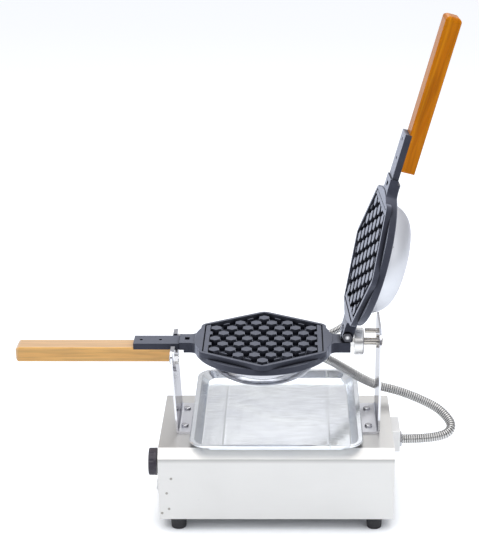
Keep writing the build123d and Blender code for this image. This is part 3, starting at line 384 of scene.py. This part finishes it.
def handled_metal(name, color, roughness, edge):
    """Bare metal with faint cloudy handling marks."""
    finish = Finish(name, color, roughness, metallic=1.0)
    finish.edge(edge)
    finish.mottle(finish.noise(22, detail=4), 0.97, 1.03)
    return finish


def metal_finish(name, color, roughness, relief, grain=None, edge=1.0):
    """Handled metal, gently uneven or, with grain, with fine lines along it."""
    finish = handled_metal(name, color, roughness, edge)
    if grain:
        lines = finish.noise(60, detail=6, stretch=grain)
        finish.roughen(lines, metal_spread)
        finish.bump((lines, relief))
    else:
        finish.roughen(finish.noise(45, detail=5), metal_spread)
        finish.bump((finish.noise(14, detail=2), relief))
    return finish.material


# Height, fade and width of the band of painted shade under the bend of the cabinet's top
bevel_drop = 0.013
bend_height = cabinet_high[2] - bevel_drop
bend_fade = 0.007
bend_line = 0.0005
bend_shade = 0.6


def cabinet_finish():
    """Satin stainless sheet with a fine grain along the cabinet, faint smears, a few specks
    and a band of painted shade under the bend of its top."""
    color = (0.69, 0.682, 0.665)
    finish = Finish("cabinet_finish", color, 0.36, metallic=1.0)
    grain = finish.noise(40, detail=7, stretch=(0.6, 22, 22))
    smear = finish.noise(7, detail=4, distortion=0.6)
    speck = finish.noise(180, detail=2)
    base = finish.tint(smear, shade(color, 0.965), shade(color, 1.02))
    dust = finish.tint(speck, shade(color, 0.86), shade(color, 0.99), start=0.2, end=0.27)
    sheet = finish.mix(finish.shift(speck, 1, 0, start=0.2, end=0.26), base, dust)
    height = finish.place_on("Z")
    # Painted shade: a band just under the bend is mixed towards bend_shade.
    rising = finish.shift(height, 0, 1, start=bend_height - bend_fade, end=bend_height)
    below = finish.shift(height, 1, 0, start=bend_height, end=bend_height + bend_line)
    band = finish.math("MULTIPLY", rising, below)
    finish.paint(finish.mix(band, sheet, shade(color, bend_shade)))
    finish.roughen(grain)
    finish.bump((grain, 0.000012), (smear, 0.00035))
    return finish.material


tray_line_x = 0.078
tray_line_width = 0.0028
tray_line_relief = 0.0003


def tray_finish():
    """Pressed stainless sheet with two shallow pressed lines and drawing marks front to back."""
    finish = Finish("tray_finish", (0.92, 0.95, 1.0), 0.19, metallic=1.0)
    smear = finish.noise(11, detail=3, distortion=0.9)
    wipe = finish.noise(55, detail=6, stretch=(1, 5, 1))
    drawn = finish.noise(48, detail=3, stretch=(1, 0.1, 1))
    finish.mottle(smear, 0.95, 1.03)
    finish.roughen(wipe)
    away = finish.math("ABSOLUTE", finish.math("SUBTRACT", finish.place_on("X"), middle.x))
    from_line = finish.math("ABSOLUTE", finish.math("SUBTRACT", away, tray_line_x))
    line = finish.shift(from_line, 1, 0, start=0.0, end=tray_line_width)
    finish.bump((smear, 0.0002), (wipe, 0.00001), (drawn, 0.0003), (line, tray_line_relief))
    return finish.material


rub_roughness = 0.32
rub_low = cabinet_high[2] + 0.003
rub_high = cabinet_high[2] + 0.02


def bracket_finish():
    """Polished upright above a foot that is rubbed dull."""
    finish = handled_metal("bracket_finish", polish_color, polish_roughness, polish_edge)
    height = finish.place_on("Z")
    wear_and_painted_shade = finish.shift(height, rub_roughness, polish_roughness, start=rub_low, end=rub_high)
    finish.link(wear_and_painted_shade, finish.shader, "Roughness")
    finish.bump((finish.noise(14, detail=2), 0.0004))
    return finish.material


# Radii of the painted highlight and the painted shade on the hinge bolt's face
bolt_highlight_radius = 0.0026
bolt_shade_radius = 0.0036


def bolt_face_finish(joint):
    """Zinc hexagon head with a painted highlight in the middle of its face and painted shade towards the corners.
    """
    finish = Finish("bolt_face_finish", (0.5, 0.5, 0.51), 0.22, metallic=1.0)
    from_joint = finish.node("ShaderNodeVectorMath", operation="SUBTRACT")
    finish.link(finish.coordinates(), from_joint, 0)
    from_joint.inputs[1].default_value = joint["pos_m"]
    across = finish.node("ShaderNodeVectorMath", operation="CROSS_PRODUCT")
    finish.link(from_joint.outputs["Vector"], across, 0)
    across.inputs[1].default_value = joint["axis"]
    distance = finish.node("ShaderNodeVectorMath", operation="LENGTH")
    finish.link(across.outputs["Vector"], distance, 0)
    # Painted highlight in the middle of the face and painted shade towards its corners, by distance from the
    # bolt's axis.
    bright = (bolt_highlight_radius, (0.85, 0.85, 0.86))
    painted_shade_tone = (bolt_shade_radius, (0.07, 0.07, 0.08))
    finish.paint(finish.ramp(distance.outputs["Value"], bright, painted_shade_tone))
    cloud = finish.noise(90, detail=4)
    finish.roughen(cloud)
    finish.bump((cloud, 0.00005))
    return finish.material


def hose_finish():
    """Wound steel strip, with painted shade in the grooves between its ribs."""
    color = (0.65, 0.645, 0.635)
    finish = Finish("hose_finish", color, 0.26, metallic=1.0)
    crest = finish.node("ShaderNodeAttribute", attribute_name="crest").outputs["Fac"]
    cloud = finish.noise(30, detail=4)
    # Painted shade: the grooves between the ribs take a near-black colour by the crest attribute.
    painted_shade_tone = finish.tint(cloud, (0.10, 0.10, 0.098), (0.16, 0.16, 0.155))
    bright = finish.tint(cloud, shade(color, 0.93), shade(color, 1.05))
    finish.paint(finish.mix(finish.shift(crest, 0, 1, start=0.2, end=0.9), painted_shade_tone, bright))
    finish.roughen(cloud)
    finish.bump((finish.noise(400, detail=3), 0.00002))
    return finish.material


# Coated iron, wood, mouldings and pads

# Reach of the occlusion mask that paints shade into the plates' channels
channel_reach = 0.011


def cast_finish():
    """Dark blue-grey non-stick coat over a fine cast skin, with a dusty sheen where it is open, lightly worn,
    and painted shade in its channels, where the sheen is taken away and the colour goes nearly black."""
    color = (0.040, 0.043, 0.060)
    channel_shade_color = (0.004, 0.0045, 0.008)
    worn = (0.11, 0.115, 0.14)
    finish = Finish("cast_finish", color, 0.4)
    finish.adjust({
        "Specular IOR Level": 0.09,
        "Specular Tint": (0.82, 0.87, 1.0, 1),
        "Sheen Roughness": 0.46,
        "Sheen Tint": (0.8, 0.85, 1.0, 1),
    })
    skin = finish.noise(900, detail=3)
    cloud = finish.noise(28, detail=4)
    speck = finish.noise(420, detail=2)
    base = finish.tint(cloud, shade(color, 0.8), shade(color, 1.25))
    spots = finish.tint(speck, color, worn, start=0.68, end=0.8)
    coat = finish.mix(finish.shift(speck, 0, 0.5, start=0.66, end=0.8), base, spots)
    # Painted shade: an occlusion mask takes the sheen away in the channels and mixes the colour towards near-black
    # there.
    wear_and_painted_shade = finish.openness(channel_reach, samples=8, low=0.05, start=0.5, end=0.92)
    finish.link(wear_and_painted_shade, finish.shader, "Sheen Weight")
    finish.paint(finish.mix(wear_and_painted_shade, channel_shade_color, coat))
    finish.roughen(cloud)
    finish.bump((skin, 0.00006), (cloud, 0.0002))
    return finish.material


def wood_finish(name, along, light, dark, gloss, coat_index, coat_roughness, bloom):
    """Oiled wood with straight fibres along the handle, darker bands and fine pores."""
    finish = Finish(name, light, 0.42)
    finish.adjust({
        "Specular IOR Level": gloss,
        "Coat Weight": 1.0,
        "Coat IOR": coat_index,
        "Coat Roughness": coat_roughness,
        "Sheen Weight": bloom,
    })
    bands = finish.noise(42, detail=4, stretch=(0.12, 1.6, 1.6), along=along, distortion=0.7)
    fibres = finish.noise(260, detail=5, stretch=(0.05, 1, 1), along=along)
    pores = finish.noise(700, detail=2, stretch=(0.05, 1, 1), along=along)
    base = finish.tint(bands, light, dark, start=0.38, end=0.66)
    streak = finish.tint(bands, shade(light, 0.76), shade(dark, 0.74), start=0.38, end=0.66)
    finish.paint(finish.mix(finish.shift(fibres, 0, 0.9, start=0.42, end=0.62), base, streak))
    finish.roughen(fibres, 0.07)
    finish.bump((fibres, 0.00008), (pores, 0.00005))
    return finish.material


def moulded_finish(name, color, roughness, mottle=0.08, grain=0.00003, coat_index=None):
    """Moulded plastic or rubber with a fine surface grain and, with coat_index, a clear coat."""
    finish = Finish(name, color, roughness)
    if coat_index:
        finish.adjust({"Coat Weight": 1.0, "Coat IOR": coat_index})
    cloud = finish.noise(35, detail=3)
    finish.mottle(cloud, 1 - mottle, 1 + mottle)
    finish.roughen(cloud)
    finish.bump((finish.noise(900, detail=2), grain))
    return finish.material


def lens_finish():
    """Green pilot lens, clear enough to show its moulded facets."""
    finish = Finish("lens_finish", (0.03, 0.42, 0.12), 0.12)
    finish.adjust({"Coat Weight": 0.6})
    cells = finish.node("ShaderNodeTexVoronoi")
    cells.inputs["Scale"].default_value = 900
    finish.link(finish.coordinates(), cells, "Vector")
    finish.paint(finish.tint(cells.outputs["Distance"], (0.01, 0.25, 0.06), (0.05, 0.55, 0.18)))
    finish.bump((cells.outputs["Distance"], 0.0001))
    return finish.material


def fibre_finish():
    """Pressed mineral-fibre pad."""
    finish = Finish("fibre_finish", (0.80, 0.77, 0.70), 0.95)
    strands = finish.noise(500, detail=8, stretch=(1, 1, 0.3), distortion=2)
    finish.mottle(strands, 0.75, 1.08)
    finish.bump((strands, 0.0004))
    return finish.material


# Finish of each material slot, and of the pieces that differ from their slot

lid_joint = joints["lid_hinge"]
lid_swing = Matrix.Rotation(radians(-lid_joint["range_deg"][1]), 3, Vector(lid_joint["axis"]))
lower_grain = Vector((-1, 0, 0))
upper_grain = lid_swing @ lower_grain
lower_wood = wood_finish(
    "lower_wood_finish", lower_grain, light=(0.82, 0.445, 0.105), dark=(0.72, 0.36, 0.07),
    gloss=0.2, coat_index=1.5, coat_roughness=0.25, bloom=1.0,
)
# The upper handle's wood is a darker, more saturated copy of the lower handle's wood: painted shade.
shaded_upper_wood = wood_finish(
    "upper_wood_finish", upper_grain, light=(0.65, 0.225, 0.005), dark=(0.52, 0.15, 0.002),
    gloss=0.03, coat_index=1.15, coat_roughness=0.12, bloom=0.0,
)
finishes = {
    "cabinet_steel": cabinet_finish(),
    "polished_steel": metal_finish(
        "polished_finish", polish_color, polish_roughness, 0.0005, edge=polish_edge
    ),
    "pressed_steel": tray_finish(),
    "zinc_steel": metal_finish("zinc_finish", (0.56, 0.565, 0.585), 0.24, 0.0002),
    "turned_steel": metal_finish("turned_finish", (0.52, 0.49, 0.45), 0.2, 0.00001, (22, 1, 1)),
    "cast_plate": cast_finish(),
    "beech": lower_wood,
    "black_rubber": moulded_finish("rubber_finish", (0.022, 0.022, 0.026), 0.62),
    "knob_plastic": moulded_finish("knob_finish", (0.045, 0.038, 0.055), 0.42),
    "white_plastic": moulded_finish("white_finish", (0.88, 0.88, 0.87), 0.33, mottle=0.02),
    "green_lens": lens_finish(),
    "black_plastic": moulded_finish("black_finish", (0.025, 0.025, 0.028), 0.4),
    "heater_sheath": metal_finish("heater_finish", (0.16, 0.15, 0.14), 0.5, 0.0003),
    "fibre_pad": fibre_finish(),
    "hose_steel": hose_finish(),
}
bracket_steel = bracket_finish()
own_finishes = {
    "upper_handle": shaded_upper_wood,
    "upper_dome": metal_finish("upper_dome_finish", (0.73, 0.745, 0.785), 0.52, 0.0002, edge=0.8),
    "lower_dome": metal_finish("lower_dome_finish", (0.62, 0.625, 0.66), 0.14, 0.0006, edge=0.45),
    "hub": metal_finish("hub_finish", (0.86, 0.855, 0.84), 0.3, 0.0002),
    "hinge_bolt": bolt_face_finish(lid_joint),
    "bracket_bolts": metal_finish("bracket_bolt_finish", (0.64, 0.64, 0.66), 0.1, 0.0001),
    "panel_rivets": metal_finish("rivet_finish", (0.36, 0.35, 0.32), 0.36, 0.0001),
    "bearing_bracket": bracket_steel,
    "cradle_bracket": bracket_steel,
    "junction_box": moulded_finish(
        "box_finish", (0.97, 0.97, 0.965), 0.35, mottle=0.02, grain=0.00002, coat_index=1.8
    ),
}


def dress(piece, finish):
    """Give every material slot of a piece the same finish."""
    if not piece.material_slots:
        piece.data.materials.append(finish)
    for place in piece.material_slots:
        place.material = finish


for part in record["subparts"]:
    finish = own_finishes.get(part["node"], finishes[part["material_slot"]])
    dress(frame["nodes"][part["node"]], finish)
for hose in (conduit_hose, link_hose):
    dress(hose, finishes["hose_steel"])

# Studio

floor_size = 30
floor_tone = (0.79, 0.82, 0.86)
floor_lift = 0.46
mirrored_lift = 0.36
shadow_reach = 0.05
white = (1, 1, 1)
room_strength = 0.72
room_by_height = [(0.0, (0.50, 0.50, 0.52)), (0.6, (0.95, 0.95, 0.97))]
room_by_nearness = [(0.25, white), (0.85, (0.40, 0.40, 0.42))]
subject = Vector((0.0, 0.0, 0.25))
lamps = [  # name, place, size, power
    ("key", (-0.6, -1.2, 2.2), 2.5, 28),
    ("fill", (1.6, -1.5, 1.3), 1.2, 7),
    ("top", (0.2, 0.4, 2.2), 1.4, 12),
    ("back", (0.4, 1.8, 1.9), 1.4, 7),
]


def make_floor():
    """Plain floor, lifted to white for the camera and for reflections, with its shadow kept and a painted shadow
    near the object, where an occlusion mask takes the lift away.
    """
    plane = bmesh.new()
    bmesh.ops.create_grid(plane, x_segments=1, y_segments=1, size=floor_size / 2)
    floor = mesh_object("floor", plane)
    finish = Finish("floor_finish", floor_tone, 0.9)
    finish.adjust({"Specular IOR Level": 0, "Emission Color": (*white, 1)})
    path = finish.node("ShaderNodeLightPath")
    seen = finish.math("MULTIPLY", path.outputs["Is Camera Ray"], floor_lift)
    mirrored = finish.math("MULTIPLY", path.outputs["Is Glossy Ray"], mirrored_lift)
    lift = finish.math("MAXIMUM", seen, mirrored)
    # Painted shadow: the lift falls away where the object stands near the floor.
    open_share = finish.openness(shadow_reach, samples=12, low=0, start=0.25, end=0.8)
    finish.link(finish.math("MULTIPLY", lift, open_share), finish.shader, "Emission Strength")
    dress(floor, finish.material)


def make_world():
    """White room, darker low down and behind the camera, so that bare metal has contrast."""
    world = bpy.data.worlds.new("studio")
    world.use_nodes = True
    bpy.context.scene.world = world
    nodes = Nodes(world.node_tree)
    room = world.node_tree.nodes["Background"]
    output = world.node_tree.nodes["World Output"]
    parts = nodes.node("ShaderNodeSeparateXYZ")
    nodes.link(nodes.node("ShaderNodeTexCoord").outputs["Generated"], parts, "Vector")
    nearness = nodes.math("MULTIPLY", parts.outputs["Y"], -1)
    both = nodes.node("ShaderNodeMix", data_type="RGBA", blend_type="MULTIPLY")
    both.inputs["Factor"].default_value = 1
    nodes.link(nodes.ramp(parts.outputs["Z"], *room_by_height), both, first_color)
    nodes.link(nodes.ramp(nearness, *room_by_nearness), both, second_color)
    nodes.link(both.outputs[mixed_color], room, "Color")
    room.inputs["Strength"].default_value = room_strength
    backdrop = nodes.node("ShaderNodeBackground")
    backdrop.inputs["Color"].default_value = (*white, 1)
    choice = nodes.node("ShaderNodeMixShader")
    nodes.link(nodes.node("ShaderNodeLightPath").outputs["Is Camera Ray"], choice, "Fac")
    nodes.link(room.outputs["Background"], choice, 1)
    nodes.link(backdrop.outputs["Background"], choice, 2)
    nodes.link(choice.outputs["Shader"], output, "Surface")


def softbox(name, place, size, power):
    """Square area lamp aimed at the subject."""
    data = bpy.data.lights.new(name, "AREA")
    data.shape = "SQUARE"
    data.size = size
    data.energy = power
    lamp = bpy.data.objects.new(name, data)
    lamp.location = at(*place)
    lamp.rotation_euler = (subject - Vector(place)).to_track_quat("-Z", "Y").to_euler()
    bpy.context.scene.collection.objects.link(lamp)


make_floor()
make_world()
for lamp in lamps:
    softbox(*lamp)

bpy.context.scene.view_settings.view_transform = "Standard"
